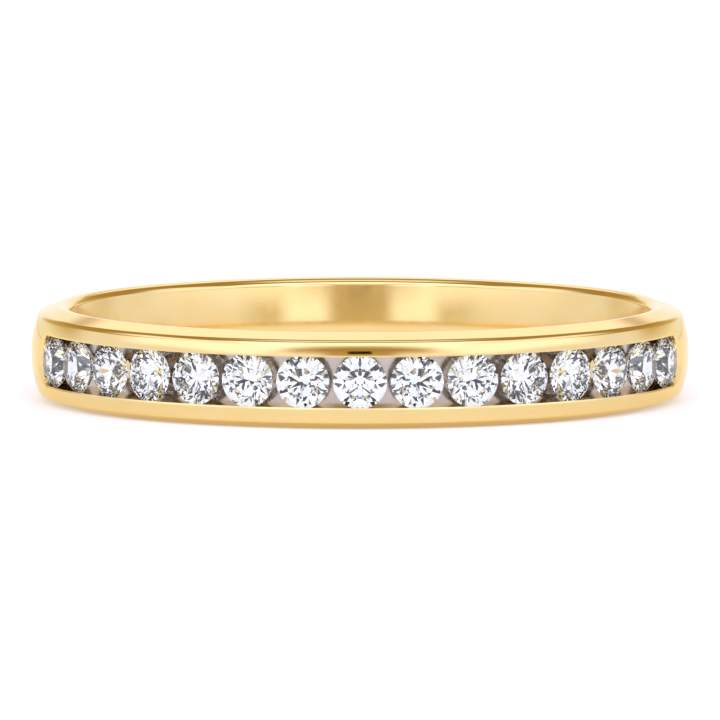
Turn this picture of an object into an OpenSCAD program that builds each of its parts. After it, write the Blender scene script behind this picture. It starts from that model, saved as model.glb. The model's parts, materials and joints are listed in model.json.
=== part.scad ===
// Channel set band lying on its side: a cast gold band with a row of round stones in one channel.
// Millimetres. +Z is the finger hole's axis, the middle stone faces -Y, and the lower side is at z = 0.

/* [Band] */
// Inside diameter of the band, which is the ring size
bore_d = 17.3; // [14:0.1:22]
// Thickness of the metal from the finger hole to the outer face
wall_t = 1.15; // [1.1:0.01:1.5]
// Width of the band along the finger
band_w = 2.82; // [2.6:0.02:3.6]
// Radius of the dome across the outer face
dome_r = 3.2; // [2.4:0.1:20]
// Angle at which each side falls away from its flat to the shoulder
side_slope = 20; // [5:1:25]
// Radius of the shoulder between each side and the dome
shoulder_r = 0.25; // [0.1:0.01:0.45]
// Radius of the two inner edges
inner_edge_r = 0.25; // [0.05:0.01:0.4]
// Width of the flat on each side that the band lies on
side_flat = 0.09; // [0.06:0.01:0.2]

/* [Stones] */
// Number of stones in the row
stone_count = 15; // [3:2:17]
// Diameter of a stone at its girdle
stone_d = 1.58; // [1.3:0.01:1.62]
// Gap between two neighbouring girdles
stone_gap = 0.11; // [0.05:0.01:0.4]
// Width of the table from corner to corner
table_d = 0.9; // [0.7:0.01:1]
// Height of the crown above the girdle
crown_h = 0.245; // [0.15:0.005:0.28]
// Thickness of the girdle at its facet corners
girdle_t = 0.06; // [0.05:0.005:0.08]
// Depth of the pavilion below the girdle
pavilion_h = 0.675; // [0.5:0.005:0.68]
// How far the tables lie below the outer face
table_sink = 0.015; // [0.015:0.005:0.05]

/* [Channel] */
// Width of the channel between its two rails
channel_w = 1.5; // [1.3:0.01:1.54]
// Depth of the channel below the outer face
channel_depth = 0.8; // [0.6:0.01:0.85]
// Width of the bevel along the channel's edge
bevel_w = 0.05; // [0.02:0.01:0.1]
// Gap between the last girdle and the end of the channel, which runs round the last stone
end_gap = 0.05; // [0.04:0.01:0.3]
// Diameter of the light hole below each stone
light_hole_d = 0.72; // [0.5:0.02:0.9]
// Clearance between a stone and its seat
seat_clearance = 0.02; // [0.015:0.005:0.03]

/* [Hidden] */
bore_r = bore_d / 2;
outer_r = bore_r + wall_t;
half_w = band_w / 2;
stone_r = stone_d / 2;
table_r = table_d / 2;
floor_r = outer_r - channel_depth;
girdle_r = outer_r - table_sink - crown_h;

// The flat on each side, and the centre of the dome's arc
inner_x = bore_r + inner_edge_r;
flat_x = inner_x + side_flat;
dome_x = outer_r - dome_r;

// The shoulder is an arc that touches the sloping side and the dome. Its centre lies on the slope
// moved inwards by its radius, and as far from the dome's centre as the two radii differ.
slope_x = flat_x - dome_x - shoulder_r * sin(side_slope);
slope_z = half_w - shoulder_r * cos(side_slope);
slope_mid = slope_x * cos(side_slope) - slope_z * sin(side_slope);
slope_run = sqrt(pow(slope_mid, 2) + pow(dome_r - shoulder_r, 2) - pow(slope_x, 2) - pow(slope_z, 2))
    - slope_mid;
shoulder_x = dome_x + slope_x + slope_run * cos(side_slope);
shoulder_z = slope_z - slope_run * sin(side_slope);
shoulder_angle = atan2(shoulder_z, shoulder_x - dome_x);

// Places of the stones as angles round the band, and the round end of the channel
pitch = 2 * asin((stone_d + stone_gap) / 2 / girdle_r);
last_angle = pitch * (stone_count - 1) / 2;
end_r = stone_r + end_gap;
end_reach = asin(end_r / outer_r);

// Facets of a brilliant: eight mains, with the girdle in forty-eight steps
mains = 8;
main_step = 360 / mains;
girdle_steps = 6;
girdle_n = mains * girdle_steps;
star_share = 0.5;
lower_half_share = 0.77;

over = 0.2;
$fn = 96;

STONES = [for (i = [1 : stone_count]) str("stone_", i < 10 ? "0" : "", i)];

// One half of the band's section: the round inner edge, the flat, the sloping side and the shoulder
module half_section(side) {
    ray_z = (inner_x - dome_x) * tan(shoulder_angle);
    mirror([0, side < 0 ? 1 : 0]) {
        translate([inner_x, half_w - inner_edge_r]) circle(inner_edge_r);
        translate([shoulder_x, shoulder_z]) circle(shoulder_r);
        polygon([
            [inner_x, ray_z / 2],
            [shoulder_x, shoulder_z],
            [shoulder_x + shoulder_r * sin(side_slope), shoulder_z + shoulder_r * cos(side_slope)],
            [flat_x, half_w],
            [inner_x, half_w]
        ]);
    }
}

// The band's section: a straight bore, the two sides and the dome between their shoulders
module section() {
    ray = dome_r + over;
    translate([bore_r, inner_edge_r - half_w])
        square([inner_edge_r + side_flat, band_w - 2 * inner_edge_r]);
    half_section(-1);
    half_section(1);
    intersection() {
        translate([dome_x, 0]) circle(dome_r);
        polygon([
            [inner_x, -(inner_x - dome_x) * tan(shoulder_angle)],
            [dome_x + ray, -ray * tan(shoulder_angle)],
            [dome_x + ray, ray * tan(shoulder_angle)],
            [inner_x, (inner_x - dome_x) * tan(shoulder_angle)]
        ]);
    }
}

// Section of the channel, flared along both rails by the bevel
module channel_section() {
    bevel_r = dome_x + sqrt(pow(dome_r, 2) - pow(channel_w / 2, 2)) - bevel_w;
    flare = bevel_w + over;
    polygon([
        [floor_r, -channel_w / 2],
        [bevel_r, -channel_w / 2],
        [bevel_r + flare, -channel_w / 2 - flare],
        [bevel_r + flare, channel_w / 2 + flare],
        [bevel_r, channel_w / 2],
        [floor_r, channel_w / 2]
    ]);
}

// Turns a piece modelled along +Z so that +Z points out of the band at an angle round it
module facing_out(angle) {
    rotate([0, 0, angle]) rotate([90, 0, 0]) children();
}

// A straight stretch of the channel, as far to the right of the middle stone as to its left
module channel_stretch(angle) {
    rotate([0, 0, -angle - 90])
        rotate_extrude(angle = 2 * angle, $fn = 180)
            channel_section();
}

// What stays of the metal beyond the last stone: a block with a round hole about the stone, and the
// bevel along the hole's edge
module end_block(side) {
    reach = end_reach + 6;
    flare = bevel_w + 2 * over;
    difference() {
        rotate([0, 0, side * last_angle - (side < 0 ? reach : 0) - 90])
            rotate_extrude(angle = reach, $fn = 180)
                translate([floor_r - over, -half_w])
                    square([channel_depth + 2 * over, band_w]);
        facing_out(side * last_angle) {
            cylinder(r = end_r, h = outer_r + 2 * over);
            translate([0, 0, outer_r * cos(end_reach) - bevel_w])
                cylinder(r1 = end_r, r2 = end_r + flare, h = flare);
        }
    }
}

// The channel with its two round ends
module channel() {
    difference() {
        channel_stretch(last_angle + end_reach + 3);
        end_block(-1);
        end_block(1);
    }
}

// The seat cut for one stone: a groove for the girdle that clears the crown under the rails'
// edges, a bearing below it and a light hole through to the finger hole
module seat(angle) {
    groove_r = stone_r + seat_clearance;
    crown_slope = crown_h / (stone_r - table_r);
    groove_top = girdle_r + (stone_r - channel_w / 2) * crown_slope + seat_clearance;
    groove_floor = girdle_r - girdle_t - seat_clearance;
    hole_r = light_hole_d / 2;
    bearing_h = (groove_r - hole_r) * pavilion_h / stone_r;
    facing_out(angle) {
        translate([0, 0, groove_floor])
            cylinder(r = groove_r, h = groove_top - groove_floor);
        translate([0, 0, groove_floor - bearing_h])
            cylinder(r1 = hole_r, r2 = groove_r, h = bearing_h);
        translate([0, 0, bore_r - over])
            cylinder(r = hole_r, h = groove_floor - bore_r);
    }
}

// The plain ring with the channel cut in it, before the seats
module channelled_ring() {
    difference() {
        rotate_extrude($fn = 180) section();
        channel();
    }
}

module band() {
    color("gold")
        translate([0, 0, half_w])
            difference() {
                channelled_ring();
                for (i = [1 : stone_count]) seat(stone_angle(i));
            }
}

function stone_angle(i) = (i - 1) * pitch - last_angle;

// A point on the facet plane that falls by rise from the girdle to the axis, facing an angle
function plane_z(r, angle, rise, reach) = rise * (1 - r * cos(angle)) / (1 - reach);

// Round brilliant: table, stars, kites and upper halves above the girdle, lower halves and
// mains below it. Lengths in the plane are shares of the girdle's radius.
module brilliant() {
    half = main_step / 2;
    table_share = table_r / stone_r;
    table_mid = table_share * cos(half);
    star_r = table_mid + star_share * (1 - table_mid);
    star_z = plane_z(star_r, half, crown_h, table_share);
    low_r = 1 - lower_half_share;
    low_z = plane_z(low_r, half, pavilion_h, 0);
    half_mid = cos(half / 2);
    // How far a facet plane has fallen where the round girdle bulges past the chord of its half facet
    function fall(step, tip_r, tip_z) =
        tip_z * (cos((step / girdle_steps - floor(step / girdle_steps * 2) / 2 - 0.25) * main_step) - half_mid)
        / (half_mid - tip_r * half_mid);
    table_points = [for (k = [0 : mains - 1])
        [table_r * cos(k * main_step), table_r * sin(k * main_step), crown_h]];
    star_points = [for (k = [0 : mains - 1])
        [stone_r * star_r * cos((k + 0.5) * main_step), stone_r * star_r * sin((k + 0.5) * main_step), star_z]];
    upper_points = [for (j = [0 : girdle_n - 1])
        let (a = j * 360 / girdle_n)
        [stone_r * cos(a), stone_r * sin(a), -fall(j % girdle_steps, star_r, star_z)]];
    lower_points = [for (j = [0 : girdle_n - 1])
        let (a = j * 360 / girdle_n)
        [stone_r * cos(a), stone_r * sin(a), -girdle_t + fall(j % girdle_steps, low_r, low_z)]];
    low_points = [for (k = [0 : mains - 1])
        [stone_r * low_r * cos((k + 0.5) * main_step), stone_r * low_r * sin((k + 0.5) * main_step),
            -girdle_t - low_z]];
    culet = [[0, 0, -girdle_t - pavilion_h]];

    s0 = mains;
    u0 = s0 + mains;
    l0 = u0 + girdle_n;
    p0 = l0 + girdle_n;
    c0 = p0 + mains;
    steps = girdle_steps / 2;
    table_face = [[for (k = [mains - 1 : -1 : 0]) k]];
    stars = [for (k = [0 : mains - 1]) [k, (k + 1) % mains, s0 + k]];
    kites = [for (k = [0 : mains - 1]) [k, s0 + k, u0 + k * girdle_steps, s0 + (k + mains - 1) % mains]];
    upper_halves = [for (k = [0 : mains - 1], side = [0, 1])
        concat([s0 + k], [for (j = [steps : -1 : 0]) u0 + (k * girdle_steps + side * steps + j) % girdle_n])];
    girdle = [for (j = [0 : girdle_n - 1])
        let (n = (j + 1) % girdle_n)
        [u0 + j, u0 + n, l0 + n, l0 + j]];
    lower_halves = [for (k = [0 : mains - 1], side = [0, 1])
        concat([p0 + k], [for (j = [0 : steps]) l0 + (k * girdle_steps + side * steps + j) % girdle_n])];
    pavilion_mains = [for (k = [0 : mains - 1])
        [c0, p0 + (k + mains - 1) % mains, l0 + k * girdle_steps, p0 + k]];
    polyhedron(
        points = concat(table_points, star_points, upper_points, lower_points, low_points, culet),
        faces = concat(table_face, stars, kites, upper_halves, girdle, lower_halves, pavilion_mains)
    );
}

module stone(i) {
    color("whitesmoke")
        translate([0, 0, half_w])
            facing_out(stone_angle(i))
                translate([0, 0, girdle_r])
                    brilliant();
}

band();
for (i = [1 : stone_count]) stone(i);
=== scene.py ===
"""Channel set band on a light table: polished gold, a pale channel and fifteen clear brilliants.

Sizes are in millimetres and are turned into metres when a mesh is made. The band's middle plane is
z = 0 while a piece is built, and the finished piece is lifted until its lower side lies at z = 0.
Angles round the band start at the middle stone, which faces -Y, and grow towards +X.
"""

import json
import logging
import math
from dataclasses import dataclass, field, replace
from enum import Enum

import bmesh
import bpy
import numpy as np
from mathutils import Matrix, Vector


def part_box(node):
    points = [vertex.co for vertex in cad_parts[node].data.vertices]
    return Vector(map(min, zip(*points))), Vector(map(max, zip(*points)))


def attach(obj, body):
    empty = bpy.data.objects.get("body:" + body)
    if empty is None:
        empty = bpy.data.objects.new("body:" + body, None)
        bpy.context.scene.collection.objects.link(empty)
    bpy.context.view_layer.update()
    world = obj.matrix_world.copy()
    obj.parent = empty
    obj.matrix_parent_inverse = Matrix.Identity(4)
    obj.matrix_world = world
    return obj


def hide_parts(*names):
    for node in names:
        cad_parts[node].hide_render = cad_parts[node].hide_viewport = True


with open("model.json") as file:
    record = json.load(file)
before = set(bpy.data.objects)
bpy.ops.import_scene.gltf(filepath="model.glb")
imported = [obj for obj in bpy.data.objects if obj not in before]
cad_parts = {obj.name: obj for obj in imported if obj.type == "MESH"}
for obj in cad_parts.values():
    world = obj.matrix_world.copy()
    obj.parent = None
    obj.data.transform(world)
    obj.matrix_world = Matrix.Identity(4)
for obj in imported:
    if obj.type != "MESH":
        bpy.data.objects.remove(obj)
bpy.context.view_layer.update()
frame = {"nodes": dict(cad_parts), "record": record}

MM = 0.001
SAME_PLACE_MM = 1e-6
NO_LENGTH_MM = 1e-7
log = logging.getLogger("band")

Colour = tuple[float, float, float]
Span = tuple[float, float]
Outline = list[tuple[float, float]]
Points = list[tuple[float, float, float]]
Faces = list[tuple[int, ...]]


class Surface(Enum):
    """The finishes on the band, by material slot."""

    GOLD = 0
    PLATE = 1
    BORE = 2
    SEAT = 3


class Part(Enum):
    """The stretches of the band's section, going from the finger hole to the outer face."""

    BORE = 0
    INNER_EDGE = 1
    FLAT = 2
    SLOPE = 3
    SHOULDER = 4
    DOME = 5


def new_object(
    name: str, points: Points, faces: Faces, surfaces: list[int] | None = None
) -> bpy.types.Object:
    """Makes a mesh object and links it to the scene.

    Args:
        name: Name of the object and its mesh.
        points: Vertices, in the caller's units.
        faces: Vertex numbers of each face.
        surfaces: Material slot of each face, or nothing where all are the first.

    Returns:
        The new object.
    """
    mesh = bpy.data.meshes.new(name)
    mesh.from_pydata(points, [], faces)
    if surfaces:
        mesh.polygons.foreach_set("material_index", surfaces)
    mesh.update()
    made = bpy.data.objects.new(name, mesh)
    bpy.context.scene.collection.objects.link(made)
    return made


def on_arc(x: float, z: float, radius: float, turn: float) -> tuple[float, float]:
    """A point of the section on an arc about a centre."""
    return (x + radius * math.cos(turn), z + radius * math.sin(turn))


def facing_out(angle: float) -> Matrix:
    """Turns a piece modelled along +Z so that +Z points out of the band at an angle round it."""
    return Matrix.Rotation(angle, 4, "Z") @ Matrix.Rotation(math.pi / 2, 4, "X")


def round_band(radius: float, angle: float, height: float) -> tuple[float, float, float]:
    """A point at a radius from the finger hole's axis, an angle round it and a height."""
    return (radius * math.sin(angle), -radius * math.cos(angle), height)


def lathe(outline: Outline, steps: int) -> tuple[Points, Faces]:
    """Turns an outline that starts and ends on the axis into a closed mesh round +Z.

    Args:
        outline: Pairs of radius and height, the first and the last on the axis.
        steps: Number of flats round the axis.

    Returns:
        The vertices and the faces.
    """
    points: Points = [(0, 0, outline[0][1])]
    for radius, height in outline[1:-1]:
        for step in range(steps):
            turn = 2 * math.pi * step / steps
            points.append((radius * math.cos(turn), radius * math.sin(turn), height))
    points.append((0, 0, outline[-1][1]))
    rings = len(outline) - 2
    top = len(points) - 1
    faces: Faces = []
    for step in range(steps):
        after = (step + 1) % steps
        faces.append((0, 1 + after, 1 + step))
        for ring in range(rings - 1):
            low, high = 1 + ring * steps, 1 + (ring + 1) * steps
            faces.append((low + step, low + after, high + after, high + step))
        last = 1 + (rings - 1) * steps
        faces.append((last + step, last + after, top))
    return points, faces


def settle_points(mesh: bpy.types.Mesh) -> None:
    """Numbers the points by their place, because carving can leave them in another order each run.

    Args:
        mesh: The carved mesh.
    """
    places = np.empty(len(mesh.vertices) * 3, dtype=np.float32)
    mesh.vertices.foreach_get("co", places)
    places = places.reshape(-1, 3)
    order = np.lexsort(places.T)
    number = np.empty(len(order), dtype=np.int64)
    number[order] = np.arange(len(order))
    faces = [number[list(face.vertices)].tolist() for face in mesh.polygons]
    surfaces = [face.material_index for face in mesh.polygons]
    mesh.clear_geometry()
    mesh.from_pydata(places[order].tolist(), [], faces)
    mesh.polygons.foreach_set("material_index", surfaces)
    mesh.update()


def carve(target: bpy.types.Object, cutter: bpy.types.Object) -> None:
    """Takes the cutter's shape out of the target and removes the cutter.

    Args:
        target: The piece that is cut.
        cutter: A closed piece. The cut faces take its materials.
    """
    cut = target.modifiers.new("carve", "BOOLEAN")
    cut.operation = "DIFFERENCE"
    cut.solver = "EXACT"
    cut.material_mode = "INDEX"
    cut.object = cutter
    graph = bpy.context.evaluated_depsgraph_get()
    carved = bpy.data.meshes.new_from_object(target.evaluated_get(graph))
    settle_points(carved)
    target.modifiers.clear()
    plain = target.data
    target.data = carved
    bpy.data.meshes.remove(plain)
    bpy.data.objects.remove(cutter)


class Nodes:
    """A material with its node tree emptied down to one shader and the output."""

    usual_noise: Span = (0.3, 0.7)

    def __init__(self, name: str) -> None:
        """Makes the material.

        Args:
            name: The material's name.
        """
        self.material = bpy.data.materials.new(name)
        self.material.use_nodes = True
        self.tree = self.material.node_tree
        self.shader = next(n for n in self.tree.nodes if n.type == "BSDF_PRINCIPLED")

    def add(self, kind: str, **values: object) -> bpy.types.Node:
        """Adds a node and sets its own values.

        Args:
            kind: The node's type.
            values: The node's own settings by name.

        Returns:
            The new node.
        """
        node = self.tree.nodes.new(kind)
        for key, value in values.items():
            setattr(node, key, value)
        return node

    def join(self, out: bpy.types.NodeSocket, into: bpy.types.NodeSocket) -> None:
        """Links two sockets."""
        self.tree.links.new(out, into)

    def noise(self, size: float, detail: float) -> bpy.types.NodeSocket:
        """Soft noise over the object's own shape.

        Args:
            size: Width of one blotch, in millimetres.
            detail: Number of finer layers in it.

        Returns:
            The noise value, from 0 to 1.
        """
        place = self.add("ShaderNodeTexCoord")
        noise = self.add("ShaderNodeTexNoise")
        noise.inputs["Scale"].default_value = 1 / (size * MM)
        noise.inputs["Detail"].default_value = detail
        self.join(place.outputs["Object"], noise.inputs["Vector"])
        return noise.outputs["Fac"]

    def spread(self, value: bpy.types.NodeSocket, low: float, high: float) -> bpy.types.NodeSocket:
        """Stretches a noise value between two limits.

        Args:
            value: The noise value.
            low: What the usual lower end of the noise becomes.
            high: What its usual upper end becomes.

        Returns:
            The stretched value.
        """
        spread = self.add("ShaderNodeMapRange")
        spread.inputs["From Min"].default_value = self.usual_noise[0]
        spread.inputs["From Max"].default_value = self.usual_noise[1]
        spread.inputs["To Min"].default_value = low
        spread.inputs["To Max"].default_value = high
        self.join(value, spread.inputs["Value"])
        return spread.outputs["Result"]

    def tint(self, value: bpy.types.NodeSocket, first: Colour, second: Colour) -> bpy.types.NodeSocket:
        """Blends two colours by a noise value.

        Args:
            value: The noise value.
            first: The colour at the noise's lower end.
            second: The colour at its upper end.

        Returns:
            The blended colour.
        """
        mix = self.add("ShaderNodeMix", data_type="RGBA")
        self.join(self.spread(value, 0, 1), mix.inputs["Factor"])
        mix.inputs["A"].default_value = (*first, 1)
        mix.inputs["B"].default_value = (*second, 1)
        return mix.outputs["Result"]

    def bump(self, height: bpy.types.NodeSocket, depth: float) -> None:
        """Raises the surface by a height value.

        Args:
            height: The height value, from 0 to 1.
            depth: The most that the surface is raised, in millimetres.
        """
        bump = self.add("ShaderNodeBump")
        bump.inputs["Distance"].default_value = depth * MM
        self.join(height, bump.inputs["Height"])
        self.join(bump.outputs["Normal"], self.shader.inputs["Normal"])

    def set(self, **values: object) -> None:
        """Sets values on the shader's own sockets, with _ in place of a space."""
        for key, value in values.items():
            self.shader.inputs[key.replace("_", " ")].default_value = value

    def no_glare(self) -> None:
        """Leaves the surface without any glare."""
        self.shader.inputs["Specular IOR Level"].default_value = 0.0


@dataclass(frozen=True)
class PolishedGold:
    """Mirror polished yellow gold with the faint waves and haze that a buffing wheel leaves."""

    colour: Colour = (0.875, 0.665, 0.295)
    deep_colour: Colour = (0.865, 0.640, 0.268)
    grazing: Colour = (0.98, 0.89, 0.67)
    roughness: Span = (0.045, 0.085)
    blotch: float = 2.6
    haze: float = 0.35
    wave: float = 1.8
    wave_depth: float = 0.0012

    def material(self) -> bpy.types.Material:
        """Builds the material.

        Returns:
            The material.
        """
        nodes = Nodes("polished_gold")
        nodes.set(Metallic=1.0, Specular_Tint=(*self.grazing, 1))
        colour = nodes.tint(nodes.noise(self.blotch, 2), self.colour, self.deep_colour)
        nodes.join(colour, nodes.shader.inputs["Base Color"])
        haze = nodes.spread(nodes.noise(self.haze, 4), *self.roughness)
        nodes.join(haze, nodes.shader.inputs["Roughness"])
        nodes.bump(nodes.noise(self.wave, 1), self.wave_depth)
        return nodes.material


@dataclass(frozen=True)
class BrushedBore:
    """The finger hole's gold, brushed round the hole, so that reflections are drawn out up and down."""

    colour: Colour = (0.895, 0.670, 0.285)
    deep_colour: Colour = (0.880, 0.640, 0.250)
    roughness: Span = (0.15, 0.18)
    brushing: float = 0.85
    brushing_turn: float = 0.25
    blotch: float = 1.6
    haze: float = 0.25

    def material(self) -> bpy.types.Material:
        """Builds the material.

        Returns:
            The material.
        """
        nodes = Nodes("brushed_bore")
        nodes.set(Metallic=1.0, Anisotropic=self.brushing, Anisotropic_Rotation=self.brushing_turn)
        colour = nodes.tint(nodes.noise(self.blotch, 2), self.colour, self.deep_colour)
        nodes.join(colour, nodes.shader.inputs["Base Color"])
        haze = nodes.spread(nodes.noise(self.haze, 3), *self.roughness)
        nodes.join(haze, nodes.shader.inputs["Roughness"])
        round_hole = nodes.add("ShaderNodeTangent", direction_type="RADIAL", axis="Z")
        nodes.join(round_hole.outputs["Tangent"], nodes.shader.inputs["Tangent"])
        return nodes.material


@dataclass(frozen=True)
class PlatingWithPaintedShade:
    """Pale plating on the channel's floor, a little duller than the rails, its colours darkened as painted
    shade.
    """

    # Painted shade: both colours are darker than bare pale plating, for the shade between the stones and the
    # rails.
    colour: Colour = (0.58, 0.515, 0.455)
    shade: Colour = (0.42, 0.36, 0.31)
    roughness: Span = (0.12, 0.20)
    blotch: float = 0.9
    grain: float = 0.08
    grain_depth: float = 0.0008

    def material(self) -> bpy.types.Material:
        """Builds the material.

        Returns:
            The material.
        """
        nodes = Nodes("pale_plating")
        nodes.set(Metallic=1.0)
        colour = nodes.tint(nodes.noise(self.blotch, 2), self.colour, self.shade)
        nodes.join(colour, nodes.shader.inputs["Base Color"])
        grain = nodes.noise(self.grain, 3)
        nodes.join(nodes.spread(grain, *self.roughness), nodes.shader.inputs["Roughness"])
        nodes.bump(grain, self.grain_depth)
        return nodes.material


@dataclass(frozen=True)
class SeatPaintedShade:
    """The seats below the stones, grainy and unpolished as cut, coloured near black as painted shade under
    them.
    """

    # Painted shade: both colours are near black, so the stones show dark facets where the seats lie under
    # them.
    colour: Colour = (0.200, 0.185, 0.175)
    shade: Colour = (0.100, 0.092, 0.086)
    roughness: Span = (0.30, 0.45)
    grain: float = 0.06
    grain_depth: float = 0.001

    def material(self) -> bpy.types.Material:
        """Builds the material.

        Returns:
            The material.
        """
        nodes = Nodes("cut_seat")
        nodes.set(Metallic=1.0)
        grain = nodes.noise(self.grain, 3)
        nodes.join(nodes.tint(grain, self.colour, self.shade), nodes.shader.inputs["Base Color"])
        nodes.join(nodes.spread(grain, *self.roughness), nodes.shader.inputs["Roughness"])
        nodes.bump(grain, self.grain_depth)
        return nodes.material


@dataclass(frozen=True)
class ClearStone:
    """A clear, polished stone of high refraction with a trace of cool tint and less glare than a bare one."""

    colour: Colour = (0.925, 0.960, 0.930)
    cool_colour: Colour = (0.850, 0.895, 0.885)
    refraction: float = 2.42
    roughness: float = 0.0
    sheen: Colour = (0.50, 0.52, 0.54)
    blotch: float = 0.5

    def material(self) -> bpy.types.Material:
        """Builds the material.

        Returns:
            The material.
        """
        nodes = Nodes("clear_stone")
        nodes.set(Roughness=self.roughness, IOR=self.refraction, Transmission_Weight=1.0)
        nodes.set(Specular_Tint=(*self.sheen, 1))
        colour = nodes.tint(nodes.noise(self.blotch, 1), self.colour, self.cool_colour)
        nodes.join(colour, nodes.shader.inputs["Base Color"])
        return nodes.material


@dataclass(frozen=True)
class LightTable:
    """A white table lit from below, so that hardly a shadow falls on it."""

    colour: Colour = (0.93, 0.93, 0.93)
    shade: Colour = (0.90, 0.90, 0.90)
    roughness: float = 0.9
    glow: float = 0.27
    tone: Colour = (0.94, 1.0, 1.12)
    blotch: float = 40

    def material(self) -> bpy.types.Material:
        """Builds the material.

        Returns:
            The material.
        """
        nodes = Nodes("light_table")
        nodes.set(Roughness=self.roughness, Emission_Color=(*self.tone, 1), Emission_Strength=self.glow)
        nodes.no_glare()
        colour = nodes.tint(nodes.noise(self.blotch, 2), self.colour, self.shade)
        nodes.join(colour, nodes.shader.inputs["Base Color"])
        return nodes.material


@dataclass(frozen=True)
class PanelGlow:
    """Light from a clear cloth that fades towards the panel's edges, by the panel's own glow values."""

    brightness: float
    tone: Colour
    cloth: Colour = (0, 0, 0)
    roughness: float = 1.0

    def material(self, name: str) -> bpy.types.Material:
        """Builds the material.

        Args:
            name: Name of the panel.

        Returns:
            The material.
        """
        nodes = Nodes(name)
        nodes.set(Base_Color=(*self.cloth, 1), Roughness=self.roughness)
        nodes.set(Emission_Color=(*self.tone, 1), Emission_Strength=self.brightness)
        nodes.no_glare()
        share = nodes.add("ShaderNodeAttribute", attribute_name="glow")
        nodes.join(share.outputs["Fac"], nodes.shader.inputs["Alpha"])
        return nodes.material


@dataclass(frozen=True)
class BlackCard:
    """Matt black card that takes light away from a reflection."""

    colour: Colour = (0.004, 0.004, 0.004)
    roughness: float = 1.0

    def material(self) -> bpy.types.Material:
        """Builds the material.

        Returns:
            The material.
        """
        nodes = Nodes("black_card")
        nodes.set(Base_Color=(*self.colour, 1), Roughness=self.roughness)
        nodes.no_glare()
        return nodes.material


@dataclass
class Channel:
    """The channel between the two rails, with a bevel round its edge."""

    width: float = 1.5
    depth: float = 0.8
    bevel_width: float = 0.08
    bevel_depth: float = 0.03
    gold_rim: float = 0.3
    over: float = 0.2
    step: float = math.radians(0.75)
    arc_steps: int = 24

    def ribs(
        self, radius: float, half_width: float, arc: float, arc_angle: float
    ) -> Outline:
        """Angles and half widths along the channel at one radius, from its left end to its right end.

        Args:
            radius: Radius from the finger hole's axis.
            half_width: Half the channel's width there.
            arc: Radius of the arc at each end.
            arc_angle: Angle round the band of the right arc's centre.

        Returns:
            Pairs of angle and half width. The first and the last half width are nothing.
        """
        corner = math.asin(half_width / arc)
        right = []
        straight = int(arc_angle / self.step)
        for k in range(straight):
            right.append((arc_angle * k / straight, half_width))
        for k in range(self.arc_steps + 1):
            turn = corner * (1 - k / self.arc_steps)
            right.append((arc_angle + math.asin(arc * math.cos(turn) / radius), arc * math.sin(turn)))
        left = [(-angle, half) for angle, half in reversed(right[1:])]
        return left + right

    def cutter(self, outer_r: float, edge_r: float, end_r: float, arc_angle: float) -> bpy.types.Object:
        """The shape that is cut out of the plain ring.

        Args:
            outer_r: Radius of the band's outer face at its middle.
            edge_r: Radius of the outer face where the rails start.
            end_r: Radius of the arc at each end.
            arc_angle: Angle round the band of each end arc's centre.

        Returns:
            The cutter, with the floor and the foot of each end wall in the plating's slot.
        """
        half = self.width / 2
        flare = self.over * self.bevel_width / self.bevel_depth
        bevel_r = edge_r - self.bevel_depth
        rim_r = bevel_r - self.gold_rim
        radii = [outer_r - self.depth, rim_r, bevel_r, bevel_r + self.over]
        grown = [0, 0, 0, flare]
        layers = [self.ribs(r, half + g, end_r + g, arc_angle) for r, g in zip(radii, grown)]
        points: Points = []
        for radius, layer in zip(radii, layers):
            for side in (1, -1):
                points += [round_band(radius, angle, side * z) for angle, z in layer]
        count = len(layers[0])
        top = len(layers) - 1
        row = {(k, side): (k * 2 + (side < 0)) * count for k in range(top + 1) for side in (1, -1)}
        gold, plate = Surface.GOLD.value, Surface.PLATE.value
        faces: Faces = []
        surfaces: list[int] = []
        for k in range(count - 1):
            faces.append((row[0, 1] + k, row[0, 1] + k + 1, row[0, -1] + k + 1, row[0, -1] + k))
            faces.append((row[top, 1] + k + 1, row[top, 1] + k, row[top, -1] + k, row[top, -1] + k + 1))
            surfaces += [plate, gold]
            at_end = min(k, count - 2 - k) < self.arc_steps
            for layer in range(top):
                up, down = row[layer, 1] + k, row[layer, -1] + k
                step = row[1, 1]
                faces.append((up + 1, up, up + step, up + step + 1))
                faces.append((down, down + 1, down + step + 1, down + step))
                surfaces += [plate if at_end and layer == 0 else gold] * 2
        made = new_object("channel_cutter", points, faces, surfaces)
        tidy_ends(made)
        return made


def tidy_ends(piece: bpy.types.Object) -> None:
    """Joins the points that meet at a piece's ends and turns every face outwards."""
    work = bmesh.new()
    work.from_mesh(piece.data)
    bmesh.ops.remove_doubles(work, verts=work.verts, dist=SAME_PLACE_MM)
    bmesh.ops.dissolve_degenerate(work, edges=work.edges, dist=NO_LENGTH_MM)
    bmesh.ops.recalc_face_normals(work, faces=work.faces)
    work.to_mesh(piece.data)
    work.free()


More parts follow.
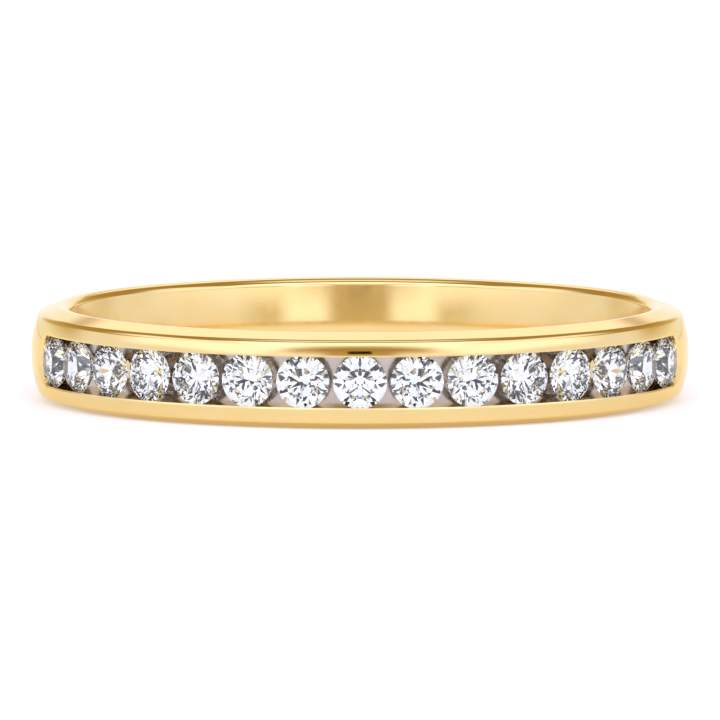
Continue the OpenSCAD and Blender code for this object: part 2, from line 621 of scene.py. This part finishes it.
@dataclass
class Brilliant:
    """A round brilliant: table, stars, kites, upper halves, girdle, lower halves and mains."""

    diameter: float = 1.58
    table: float = 0.9
    crown: float = 0.245
    girdle: float = 0.06
    pavilion: float = 0.675
    mains: int = 8
    girdle_steps: int = 6
    star_share: float = 0.5
    lower_half_share: float = 0.77

    def plane_height(self, radius: float, rise: float, reach: float) -> float:
        """Height of a facet plane half a main away from its middle, at a share of the girdle's radius."""
        return rise * (1 - radius * math.cos(math.pi / self.mains)) / (1 - reach)

    def fall(self, step: int, tip_r: float, tip_z: float) -> float:
        """How far a half facet's plane has fallen where the girdle bulges past its chord.

        Args:
            step: Number of the girdle's point, from the corner of a main.
            tip_r: Share of the girdle's radius at the half facet's tip.
            tip_z: Height of that tip from the girdle.

        Returns:
            The fall, in millimetres.
        """
        around = 2 * math.pi / self.mains
        half_mid = math.cos(around / 2 / 2)
        part = step / self.girdle_steps
        off = (part - math.floor(part * 2) / 2 - 0.25) * around
        return tip_z * (math.cos(off) - half_mid) / (half_mid - tip_r * half_mid)

    def ring(self, reach: float, turn: float, height: float) -> Points:
        """One point for each main.

        Args:
            reach: Share of the girdle's radius.
            turn: Share of a main by which the points are turned.
            height: Height from the girdle's upper edge.

        Returns:
            The points.
        """
        far = self.diameter / 2 * reach
        turns = [(k + turn) * (2 * math.pi / self.mains) for k in range(self.mains)]
        return [(far * math.cos(t), far * math.sin(t), height) for t in turns]

    def edge(self, sign: int, tip_r: float, tip_z: float, height: float) -> Points:
        """One scalloped edge of the girdle.

        Args:
            sign: -1 for the upper edge and 1 for the lower one.
            tip_r: Share of the girdle's radius at the half facets' tips.
            tip_z: Height of those tips from the girdle.
            height: Height of the edge's highest or lowest points.

        Returns:
            The points.
        """
        radius = self.diameter / 2
        count = self.mains * self.girdle_steps
        points = []
        for j in range(count):
            turn = 2 * math.pi * j / count
            rise = height + sign * self.fall(j % self.girdle_steps, tip_r, tip_z)
            points.append((radius * math.cos(turn), radius * math.sin(turn), rise))
        return points

    def points(self) -> Points:
        """The corners of the facets: table, stars, girdle, lower halves and culet.

        Returns:
            The points, with the girdle's upper edge at z = 0 and the table facing +Z.
        """
        table_share = self.table / self.diameter
        table_mid = table_share * math.cos(math.pi / self.mains)
        star_r = table_mid + self.star_share * (1 - table_mid)
        star_z = self.plane_height(star_r, self.crown, table_share)
        low_r = 1 - self.lower_half_share
        low_z = self.plane_height(low_r, self.pavilion, 0)
        points = self.ring(table_share, 0, self.crown) + self.ring(star_r, 0.5, star_z)
        points += self.edge(-1, star_r, star_z, 0) + self.edge(1, low_r, low_z, -self.girdle)
        points += self.ring(low_r, 0.5, -self.girdle - low_z)
        return points + [(0, 0, -self.girdle - self.pavilion)]

    def facets(self) -> Faces:
        """The facets between the points.

        Returns:
            The point numbers of each facet.
        """
        count = self.mains * self.girdle_steps
        star, upper = self.mains, 2 * self.mains
        lower = upper + count
        low = lower + count
        culet = low + self.mains
        steps = self.girdle_steps // 2
        faces: Faces = [tuple(range(self.mains))]
        for k in range(self.mains):
            after, before = (k + 1) % self.mains, (k - 1) % self.mains
            corner = k * self.girdle_steps
            faces.append((k, star + k, after))
            faces.append((k, star + before, upper + corner, star + k))
            faces.append((culet, low + k, lower + corner, low + before))
            for side in (0, 1):
                run = [(corner + side * steps + j) % count for j in range(steps + 1)]
                faces.append((star + k, *[upper + j for j in run]))
                faces.append((low + k, *[lower + j for j in reversed(run)]))
        for j in range(count):
            after = (j + 1) % count
            faces.append((upper + j, lower + j, lower + after, upper + after))
        return faces


@dataclass
class Seat:
    """What is cut for one stone: a groove for its girdle, a bearing and a light hole."""

    clearance: float = 0.02
    light_hole: float = 0.72
    over: float = 0.2
    steps: int = 72

    def outline(
        self, stone: Brilliant, girdle_r: float, bore_r: float, channel: Channel
    ) -> Outline:
        """The cutter's outline as pairs of radius and height from the finger hole's axis.

        Args:
            stone: The stone that the seat holds.
            girdle_r: Height of the girdle's upper edge.
            bore_r: Radius of the finger hole.
            channel: The channel that the stone lies in.

        Returns:
            The outline from the lower to the upper end.
        """
        groove = stone.diameter / 2 + self.clearance
        hole = self.light_hole / 2
        slope = stone.crown / ((stone.diameter - stone.table) / 2)
        top = girdle_r + (stone.diameter - channel.width) / 2 * slope + self.clearance
        floor = girdle_r - stone.girdle - self.clearance
        bearing = (groove - hole) * stone.pavilion / (stone.diameter / 2)
        start = bore_r - self.over
        return [(0, start), (hole, start), (hole, floor - bearing), (groove, floor), (groove, top), (0, top)]


@dataclass
class StoneRow:
    """The row of stones: how many, how far apart and how deep below the outer face."""

    count: int
    stone: Brilliant = field(default_factory=Brilliant)
    gap: float = 0.11
    table_sink: float = 0.015
    end_gap: float = 0.05
    spin: float = math.radians(17)

    def girdle_r(self, outer_r: float) -> float:
        """Radius at which the girdles' upper edges lie."""
        return outer_r - self.table_sink - self.stone.crown

    def angles(self, outer_r: float) -> list[float]:
        """Angle round the band of each stone."""
        pitch = 2 * math.asin((self.stone.diameter + self.gap) / 2 / self.girdle_r(outer_r))
        return [(k - (self.count - 1) / 2) * pitch for k in range(self.count)]

    def end_r(self) -> float:
        """Radius of the channel's round ends, each about its last stone."""
        return self.stone.diameter / 2 + self.end_gap

    def build(self, outer_r: float, lift: float, finish: bpy.types.Material) -> list[bpy.types.Object]:
        """Makes the stones, each turned a little further round its own axis than its neighbour.

        Args:
            outer_r: Radius of the band's outer face.
            lift: Height of the band's middle plane.
            finish: The stones' material.

        Returns:
            One object for each stone.
        """
        points, faces = self.stone.points(), self.stone.facets()
        made = []
        for number, angle in enumerate(self.angles(outer_r), start=1):
            turn = (number - (self.count + 1) / 2) * self.spin
            place = Matrix.Translation((0, 0, lift)) @ facing_out(angle)
            place = place @ Matrix.Translation((0, 0, self.girdle_r(outer_r))) @ Matrix.Rotation(turn, 4, "Z")
            piece = new_object(f"brilliant_{number:02d}", points, faces)
            piece.data.transform(Matrix.Scale(MM, 4) @ place)
            piece.data.materials.append(finish)
            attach(piece, "root")
            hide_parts(f"stone_{number:02d}")
            made.append(piece)
        return made


@dataclass
class Band:
    """The cast band: a straight bore, narrow flats, sloping sides, soft shoulders and a domed face."""

    bore_r: float
    outer_r: float
    half_width: float
    stones: StoneRow
    channel: Channel = field(default_factory=Channel)
    seat: Seat = field(default_factory=Seat)
    inner_edge: float = 0.25
    side_flat: float = 0.09
    side_slope: float = math.radians(20)
    shoulder: float = 0.25
    dome: float = 3.2
    turns: int = 480
    arc_steps: int = 12
    dome_steps: int = 40
    bore_steps: int = 8
    on_surface: float = 0.004
    same_way: float = math.cos(math.radians(16))
    bore_crown: float = math.radians(15)
    crown_power: float = 0.38
    crease: float = math.radians(12)

    def __post_init__(self) -> None:
        """Works out where the section's arcs meet."""
        self.inner_x = self.bore_r + self.inner_edge
        self.inner_z = self.half_width - self.inner_edge
        self.flat_x = self.inner_x + self.side_flat
        self.dome_x = self.outer_r - self.dome
        slope_x = self.flat_x - self.dome_x - self.shoulder * math.sin(self.side_slope)
        slope_z = self.half_width - self.shoulder * math.cos(self.side_slope)
        middle = slope_x * math.cos(self.side_slope) - slope_z * math.sin(self.side_slope)
        reach = (self.dome - self.shoulder) ** 2 - slope_x**2 - slope_z**2
        run = math.sqrt(middle**2 + reach) - middle
        self.shoulder_x = self.dome_x + slope_x + run * math.cos(self.side_slope)
        self.shoulder_z = slope_z - run * math.sin(self.side_slope)
        self.shoulder_angle = math.atan2(self.shoulder_z, self.shoulder_x - self.dome_x)

    def half_section(self) -> Outline:
        """The upper half of the section, from the finger hole over the shoulder to the dome's middle.

        Returns:
            Pairs of radius and height.
        """
        points = [(self.bore_r, self.inner_z * k / self.bore_steps) for k in range(self.bore_steps)]
        for k in range(self.arc_steps + 1):
            turn = math.pi - math.pi / 2 * k / self.arc_steps
            points.append(on_arc(self.inner_x, self.inner_z, self.inner_edge, turn))
        points.append((self.flat_x, self.half_width))
        start = math.pi / 2 - self.side_slope
        for k in range(self.arc_steps + 1):
            turn = start + (self.shoulder_angle - start) * k / self.arc_steps
            points.append(on_arc(self.shoulder_x, self.shoulder_z, self.shoulder, turn))
        for k in range(1, self.dome_steps // 2 + 1):
            turn = self.shoulder_angle * (1 - 2 * k / self.dome_steps)
            points.append(on_arc(self.dome_x, 0, self.dome, turn))
        return points

    def plain_ring(self) -> bpy.types.Object:
        """The ring before anything is cut in it.

        Returns:
            The ring, with the finger hole's wall in its own slot.
        """
        upper = self.half_section()
        outline = upper + [(x, -z) for x, z in reversed(upper[1:-1])]
        count = len(outline)
        points = [
            round_band(x, 2 * math.pi * step / self.turns, z)
            for step in range(self.turns)
            for x, z in outline
        ]
        in_bore = [max(outline[k][0], outline[(k + 1) % count][0]) <= self.bore_r for k in range(count)]
        faces: Faces = []
        surfaces: list[int] = []
        for step in range(self.turns):
            here, there = step * count, (step + 1) % self.turns * count
            for k in range(count):
                after = (k + 1) % count
                faces.append((here + k, here + after, there + after, there + k))
                surfaces.append((Surface.BORE if in_bore[k] else Surface.GOLD).value)
        ring = new_object("channel_set_band", points, faces, surfaces)
        tidy_ends(ring)
        return ring

    def seat_cutter(self) -> bpy.types.Object:
        """The cuts for all the stones in one piece.

        Returns:
            The cutter.
        """
        girdle_r = self.stones.girdle_r(self.outer_r)
        outline = self.seat.outline(self.stones.stone, girdle_r, self.bore_r, self.channel)
        one_points, one_faces = lathe(outline, self.seat.steps)
        points: Points = []
        faces: Faces = []
        for angle in self.stones.angles(self.outer_r):
            place = facing_out(angle)
            start = len(points)
            points += [tuple(place @ Vector(p)) for p in one_points]
            faces += [tuple(start + n for n in face) for face in one_faces]
        cutter = new_object("seat_cutter", points, faces, [Surface.SEAT.value] * len(faces))
        tidy_ends(cutter)
        return cutter

    def section_part(self, radius: np.ndarray, height: np.ndarray) -> np.ndarray:
        """Tells which stretch of the section each point lies on.

        Args:
            radius: Radii from the finger hole's axis.
            height: Heights above the middle plane, none below nothing.

        Returns:
            The value of Part for each point.
        """
        slope_end = self.shoulder_x + self.shoulder * math.sin(self.side_slope)
        lean = np.arctan2(height, radius - self.dome_x)
        part = np.full(radius.shape, Part.DOME.value)
        part[(lean > self.shoulder_angle) & (radius >= slope_end)] = Part.SHOULDER.value
        part[(height > self.shoulder_z) & (radius < slope_end) & (radius >= self.flat_x)] = Part.SLOPE.value
        part[(height > self.shoulder_z) & (radius < self.flat_x) & (radius >= self.inner_x)] = Part.FLAT.value
        part[(height > self.inner_z) & (radius < self.inner_x)] = Part.INNER_EDGE.value
        part[(height <= self.inner_z) & (radius < self.inner_x)] = Part.BORE.value
        return part

    def section_normal(
        self, part: np.ndarray, radius: np.ndarray, height: np.ndarray
    ) -> tuple[np.ndarray, np.ndarray]:
        """The true surface's direction at points on known stretches of the section.

        Args:
            part: The value of Part for each point.
            radius: Radii from the finger hole's axis.
            height: Heights above the middle plane, none below nothing.

        Returns:
            The direction's share away from the axis and its share upwards, and for each point how far
            it lies from the true surface.
        """
        centres = {
            Part.INNER_EDGE: (self.inner_x, self.inner_z, self.inner_edge),
            Part.SHOULDER: (self.shoulder_x, self.shoulder_z, self.shoulder),
            Part.DOME: (self.dome_x, 0.0, self.dome),
        }
        straights = {
            Part.FLAT: (0.0, 1.0, 0.0, self.half_width),
            Part.SLOPE: (math.sin(self.side_slope), math.cos(self.side_slope), self.flat_x, self.half_width),
        }
        normal = np.zeros((len(part), 2))
        off = np.zeros(len(part))
        for kind, (x, z, arc) in centres.items():
            on = part == kind.value
            away = np.stack([radius[on] - x, height[on] - z], axis=1)
            length = np.linalg.norm(away, axis=1)
            normal[on] = away / length[:, None]
            off[on] = np.abs(length - arc)
        bore = part == Part.BORE.value
        share = np.abs(height[bore]) / self.inner_z
        lean = self.bore_crown * np.sign(height[bore]) * share**self.crown_power
        normal[bore] = np.column_stack([-np.cos(lean), np.sin(lean)])
        edge = part == Part.INNER_EDGE.value
        turned = np.arctan2(normal[edge, 1], -normal[edge, 0])
        lean = self.bore_crown + turned * (1 - self.bore_crown / (math.pi / 2))
        normal[edge] = np.column_stack([-np.cos(lean), np.sin(lean)])
        off[bore] = np.abs(radius[bore] - self.bore_r)
        for kind, (out, up, x, z) in straights.items():
            on = part == kind.value
            normal[on] = (out, up)
            off[on] = np.abs((radius[on] - x) * out + (height[on] - z) * up)
        return normal, off

    def true_normals(self, mesh: bpy.types.Mesh) -> None:
        """Gives the turned faces and the channel's floor the directions of the true surface.

        Args:
            mesh: The carved mesh, in millimetres round the middle plane.
        """
        mesh.shade_smooth()
        mesh.set_sharp_from_angle(angle=self.crease)
        loops = len(mesh.loops)
        normals = np.empty(loops * 3)
        mesh.corner_normals.foreach_get("vector", normals)
        normals = normals.reshape(-1, 3)
        vertex = np.empty(loops, dtype=np.int64)
        mesh.loops.foreach_get("vertex_index", vertex)
        points = np.empty(len(mesh.vertices) * 3)
        mesh.vertices.foreach_get("co", points)
        points = points.reshape(-1, 3)
        sizes = np.empty(len(mesh.polygons), dtype=np.int64)
        mesh.polygons.foreach_get("loop_total", sizes)
        face_normals = np.empty(len(mesh.polygons) * 3)
        mesh.polygons.foreach_get("normal", face_normals)
        centres = np.empty(len(mesh.polygons) * 3)
        mesh.polygons.foreach_get("center", centres)
        facing = np.repeat(face_normals.reshape(-1, 3), sizes, axis=0)
        centre = np.repeat(centres.reshape(-1, 3), sizes, axis=0)
        corner = points[vertex]
        radius = np.hypot(corner[:, 0], corner[:, 1])
        outwards = corner[:, :2] / radius[:, None]
        side = np.where(centre[:, 2] < 0, -1.0, 1.0)
        part = self.section_part(np.hypot(centre[:, 0], centre[:, 1]), np.abs(centre[:, 2]))
        flat_normal, off = self.section_normal(part, radius, side * corner[:, 2])
        true = np.column_stack([outwards * flat_normal[:, :1], side * flat_normal[:, 1]])
        agree = (np.abs(off) < self.on_surface) & (np.einsum("ij,ij->i", true, facing) > self.same_way)
        normals[agree] = true[agree]
        floor = np.abs(radius - (self.outer_r - self.channel.depth)) < self.on_surface
        level = np.column_stack([outwards, np.zeros(loops)])
        floor &= np.einsum("ij,ij->i", level, facing) > self.same_way
        normals[floor] = level[floor]
        mesh.normals_split_custom_set(normals.tolist())

    def finishes(self) -> list[bpy.types.Material]:
        """The band's materials in the order of their slots.

        Returns:
            One material for each surface.
        """
        by_surface = {
            Surface.GOLD: PolishedGold(),
            Surface.PLATE: PlatingWithPaintedShade(),
            Surface.BORE: BrushedBore(),
            Surface.SEAT: SeatPaintedShade(),
        }
        return [by_surface[surface].material() for surface in Surface]

    def build(self) -> bpy.types.Object:
        """Turns the ring, cuts the channel and the seats, and dresses it.

        Returns:
            The band.
        """
        finishes = self.finishes()
        ring = self.plain_ring()
        for material in finishes:
            ring.data.materials.append(material)
        edge_r = self.dome_x + math.sqrt(self.dome**2 - (self.channel.width / 2) ** 2)
        last = self.stones.angles(self.outer_r)[-1]
        channel = self.channel.cutter(self.outer_r, edge_r, self.stones.end_r(), last)
        for cutter in (channel, self.seat_cutter()):
            for material in finishes:
                cutter.data.materials.append(material)
            carve(ring, cutter)
        self.true_normals(ring.data)
        ring.data.transform(Matrix.Scale(MM, 4) @ Matrix.Translation((0, 0, self.half_width)))
        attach(ring, "root")
        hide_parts("band")
        return ring


def from_ring(azimuth: float, elevation: float, distance: float) -> Vector:
    """A place seen from the ring.

    Args:
        azimuth: Degrees round from the middle stone towards +X.
        elevation: Degrees above the table.
        distance: Millimetres from the ring's centre.

    Returns:
        The place, in metres.
    """
    turn, rise = math.radians(azimuth), math.radians(elevation)
    level = distance * MM * math.cos(rise)
    return Vector((level * math.sin(turn), -level * math.cos(turn), distance * MM * math.sin(rise)))


@dataclass
class SoftPanel:
    """A curved light panel that faces the ring, bright in its middle and fading towards its edges.

    The angles, the width and the height are degrees, as the ring sees them.
    """

    name: str
    azimuth: float
    elevation: float
    width: float
    height: float
    brightness: float
    core: float = 0.4
    tone: Colour = (0.96, 0.985, 1.20)
    distance: float = 420
    steps: int = 20

    def pair(self) -> tuple["SoftPanel", "SoftPanel"]:
        """The panel on the left and on the right. Its name holds the word side in braces."""
        left, right = self.name.format(side="left"), self.name.format(side="right")
        return replace(self, name=left, azimuth=-self.azimuth), replace(self, name=right)

    def fade(self, across: float) -> float:
        """Share of the full brightness at a place from -1 to 1 across the panel."""
        part = min(1.0, max(0.0, (1 - abs(across)) / (1 - self.core)))
        return part * part * (3 - 2 * part)

    def build(self) -> bpy.types.Object:
        """Hangs the panel. It lights the ring and shows in reflections, and the camera doesn't see it.

        Returns:
            The panel.
        """
        points: Points = []
        glow: list[float] = []
        for row in range(self.steps + 1):
            for column in range(self.steps + 1):
                u, v = 2 * column / self.steps - 1, 2 * row / self.steps - 1
                turn = math.radians(u * self.width / 2)
                rise = math.radians(v * self.height / 2)
                level = math.cos(rise)
                aim = Vector((math.sin(turn) * level, -math.cos(turn) * level, math.sin(rise)))
                points.append(tuple(aim * self.distance * MM))
                glow.append(self.fade(u) * self.fade(v))
        wide = self.steps + 1
        faces = [
            (row * wide + k, (row + 1) * wide + k, (row + 1) * wide + k + 1, row * wide + k + 1)
            for row in range(self.steps)
            for k in range(self.steps)
        ]
        made = new_object(self.name, points, faces)
        share = made.data.attributes.new("glow", "FLOAT", "POINT")
        share.data.foreach_set("value", glow)
        made.data.shade_smooth()
        made.data.materials.append(PanelGlow(self.brightness, self.tone).material(self.name))
        made.rotation_euler = (-math.radians(self.elevation), 0, math.radians(self.azimuth))
        made.visible_camera = False
        made.visible_shadow = False
        return made


@dataclass
class Flag:
    """A small upright black card in front of the ring, which darkens a few facets or a streak of the gold."""

    name: str
    azimuth: float
    distance: float
    width: float
    low: float
    high: float
    on_gold: bool = False

    def build(self, finish: bpy.types.Material) -> bpy.types.Object:
        """Stands the card up. It throws no shadow, and either the gold or the stones show it.

        Args:
            finish: The card's material.

        Returns:
            The card.
        """
        half, low, high = self.width / 2 * MM, self.low * MM, self.high * MM
        points = [(-half, 0, low), (half, 0, low), (half, 0, high), (-half, 0, high)]
        made = new_object(self.name, points, [(0, 1, 2, 3)])
        made.data.materials.append(finish)
        made.location = from_ring(self.azimuth, 0, self.distance)
        made.rotation_euler = (0, 0, math.radians(self.azimuth))
        made.visible_camera = False
        made.visible_shadow = False
        made.visible_diffuse = False
        made.visible_glossy = self.on_gold
        made.visible_transmission = not self.on_gold
        return made


@dataclass
class StoneShade:
    """An oval black shade in front of the ring. The stones alone show it, as their dark facets."""

    name: str
    elevation: float
    half_width: float
    half_height: float
    distance: float = 400
    steps: int = 48

    def build(self, finish: bpy.types.Material) -> bpy.types.Object:
        """Hangs the shade up. The camera and the gold don't see it.

        Args:
            finish: The shade's material.

        Returns:
            The shade.
        """
        points = []
        for k in range(self.steps):
            turn = 2 * math.pi * k / self.steps
            points.append((self.half_width * MM * math.cos(turn), 0, self.half_height * MM * math.sin(turn)))
        made = new_object(self.name, points, [tuple(range(self.steps))])
        made.data.materials.append(finish)
        made.location = from_ring(0, self.elevation, self.distance)
        made.rotation_euler = (-math.radians(self.elevation), 0, 0)
        made.visible_camera = False
        made.visible_glossy = False
        made.visible_diffuse = False
        made.visible_shadow = False
        return made


@dataclass
class Studio:
    """The light table, the room round it, the light panels, the black cards and the stones' shades."""

    table_r: float = 1300
    table_steps: int = 96
    room: tuple[tuple[float, Colour], ...] = (
        (0.500, (1.03, 1.08, 1.20)),
        (0.535, (1.03, 1.08, 1.20)),
        (0.600, (0.70, 0.57, 0.38)),
        (0.720, (0.48, 0.33, 0.13)),
        (1.000, (0.42, 0.29, 0.11)),
    )
    panels: tuple[SoftPanel, ...] = (
        SoftPanel("overhead", 180, 84, width=50, height=28, brightness=1.2),
        SoftPanel("high_front", 0, 53, width=90, height=45, brightness=1.75, core=0.7),
        *SoftPanel("high_{side}", 84, 42, width=66, height=24, brightness=1.3).pair(),
        *SoftPanel(
            "{side}_strip", 62, 27, width=76, height=15, brightness=1.5, core=0.5, distance=410
        ).pair(),
        *SoftPanel("{side}_side", 84, 14, width=92, height=28, brightness=1.05, core=0.6).pair(),
        *SoftPanel("{side}_front", 22, 13, width=27, height=34, brightness=1.5, core=0.35).pair(),
        SoftPanel(
            "front_gap",
            0,
            10,
            width=26,
            height=40,
            brightness=0.64,
            core=0.5,
            tone=(1.0, 0.82, 0.55),
            distance=415,
        ),
        SoftPanel("behind", 180, 38, width=40, height=34, brightness=1.35, core=0.6),
        SoftPanel("low_behind", 180, 12, width=50, height=24, brightness=1.2, core=0.5),
    )
    cards: tuple[Flag, ...] = (
        Flag("lens_card", azimuth=0, distance=300, width=46, low=138, high=158, on_gold=True),
    )
    pickets: int = 14
    picket_turn: float = 10
    shades: tuple[StoneShade, ...] = (
        StoneShade("lens_shade", elevation=5.5, half_width=165, half_height=125),
        StoneShade("brow_shade", elevation=40, half_width=170, half_height=80),
    )

    def fence(self) -> list[Flag]:
        """The small cards that stand side by side in front of the stones.

        Returns:
            The cards, from left to right.
        """
        first = -self.picket_turn * (self.pickets - 1) / 2
        turns = [first + self.picket_turn * n for n in range(self.pickets)]
        return [
            Flag(f"picket_{n:02d}", turn, distance=16, width=1.1, low=1.2, high=2.7)
            for n, turn in enumerate(turns)
        ]

    def floor(self) -> bpy.types.Object:
        """The round table top.

        Returns:
            The table top.
        """
        turns = [2 * math.pi * k / self.table_steps for k in range(self.table_steps)]
        reach = self.table_r * MM
        points = [(0, 0, 0)] + [(reach * math.cos(t), reach * math.sin(t), 0) for t in turns]
        faces = [(0, 1 + k, 1 + (k + 1) % self.table_steps) for k in range(self.table_steps)]
        made = new_object("table_top", points, faces)
        made.data.materials.append(LightTable().material())
        return made

    def walls(self) -> None:
        """Colour of the room by height above the horizon."""
        world = bpy.data.worlds.new("room")
        bpy.context.scene.world = world
        world.use_nodes = True
        tree = world.node_tree
        back = next(n for n in tree.nodes if n.type == "BACKGROUND")
        place = tree.nodes.new("ShaderNodeTexCoord")
        split = tree.nodes.new("ShaderNodeSeparateXYZ")
        level = tree.nodes.new("ShaderNodeMapRange")
        level.inputs["From Min"].default_value = -1
        ramp = tree.nodes.new("ShaderNodeValToRGB")
        tree.links.new(place.outputs["Generated"], split.inputs["Vector"])
        tree.links.new(split.outputs["Z"], level.inputs["Value"])
        tree.links.new(level.outputs["Result"], ramp.inputs["Fac"])
        tree.links.new(ramp.outputs["Color"], back.inputs["Color"])
        stops = ramp.color_ramp.elements
        for number, (height, colour) in enumerate(self.room):
            stop = stops[number] if number < len(stops) else stops.new(height)
            stop.position = height
            stop.color = (*colour, 1)

    def build(self) -> None:
        """Sets up everything round the ring."""
        self.floor()
        self.walls()
        black = BlackCard().material()
        for panel in self.panels:
            panel.build()
        for card in (*self.cards, *self.fence()):
            card.build(black)
        for shade in self.shades:
            shade.build(black)


@dataclass
class View:
    """A long lens a little above the table, square on to the middle stone."""

    elevation: float = 5.473
    distance: float = 600
    pixels_per_mm: float = 33.586
    picture: int = 720
    ring_row: float = 351.5
    sensor: float = 36
    nearest: float = 10
    furthest: float = 20000

    def build(self, ring_height: float) -> bpy.types.Object:
        """Places the camera and makes it the scene's own.

        Args:
            ring_height: Height of the ring's centre, in millimetres.

        Returns:
            The camera.
        """
        drop = (self.picture / 2 - self.ring_row) / self.pixels_per_mm
        rise = math.radians(self.elevation)
        aim = Vector((0, -drop * math.sin(rise), ring_height - drop * math.cos(rise))) * MM
        lens = bpy.data.cameras.new("camera")
        lens.sensor_width = self.sensor
        lens.lens = self.pixels_per_mm * self.distance * self.sensor / self.picture
        lens.clip_start = self.nearest * MM
        lens.clip_end = self.furthest * MM
        made = bpy.data.objects.new("camera", lens)
        made.location = aim + from_ring(0, self.elevation, self.distance)
        made.rotation_euler = (aim - made.location).to_track_quat("-Z", "Y").to_euler()
        bpy.context.scene.collection.objects.link(made)
        bpy.context.scene.camera = made
        return made


@dataclass(frozen=True)
class Look:
    """Plain colours, and enough light bounces for the stones."""

    colours: str = "Standard"
    bounces: int = 24
    stone_bounces: int = 24
    gold_bounces: int = 12
    brightest_bounce: float = 8

    def build(self) -> None:
        """Sets the scene's colours and bounces."""
        scene = bpy.context.scene
        scene.view_settings.view_transform = self.colours
        scene.view_settings.look = "None"
        scene.cycles.max_bounces = self.bounces
        scene.cycles.transmission_bounces = self.stone_bounces
        scene.cycles.glossy_bounces = self.gold_bounces
        scene.cycles.sample_clamp_indirect = self.brightest_bounce


def report(piece: bpy.types.Object) -> None:
    """Says how large a piece is and of how many faces it is made."""
    low, high = (Vector(f(c[k] for c in piece.bound_box) for k in range(3)) for f in (min, max))
    size = ", ".join(f"{v / MM:.3f}" for v in high - low)
    log.info("%s: %s mm, %d faces", piece.name, size, len(piece.data.polygons))


def main() -> None:
    """Builds the pieces round the frame, the studio and the view."""
    low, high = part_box("band")
    hole = next(m for m in frame["record"]["mounts"] if m["name"] == "finger_hole")
    stones = StoneRow(count=sum(name.startswith("stone_") for name in frame["nodes"]))
    band = Band(
        bore_r=hole["dims"]["r_mm"],
        outer_r=round(-low.x / MM, 2),
        half_width=round((high.z - low.z) / 2 / MM, 2),
        stones=stones,
    )
    report(band.build())
    for piece in stones.build(band.outer_r, band.half_width, ClearStone().material()):
        report(piece)
    Studio().build()
    View().build(band.half_width)
    Look().build()


if __name__ == "__main__":
    logging.basicConfig(level=logging.INFO, format="%(name)s: %(message)s")
    main()
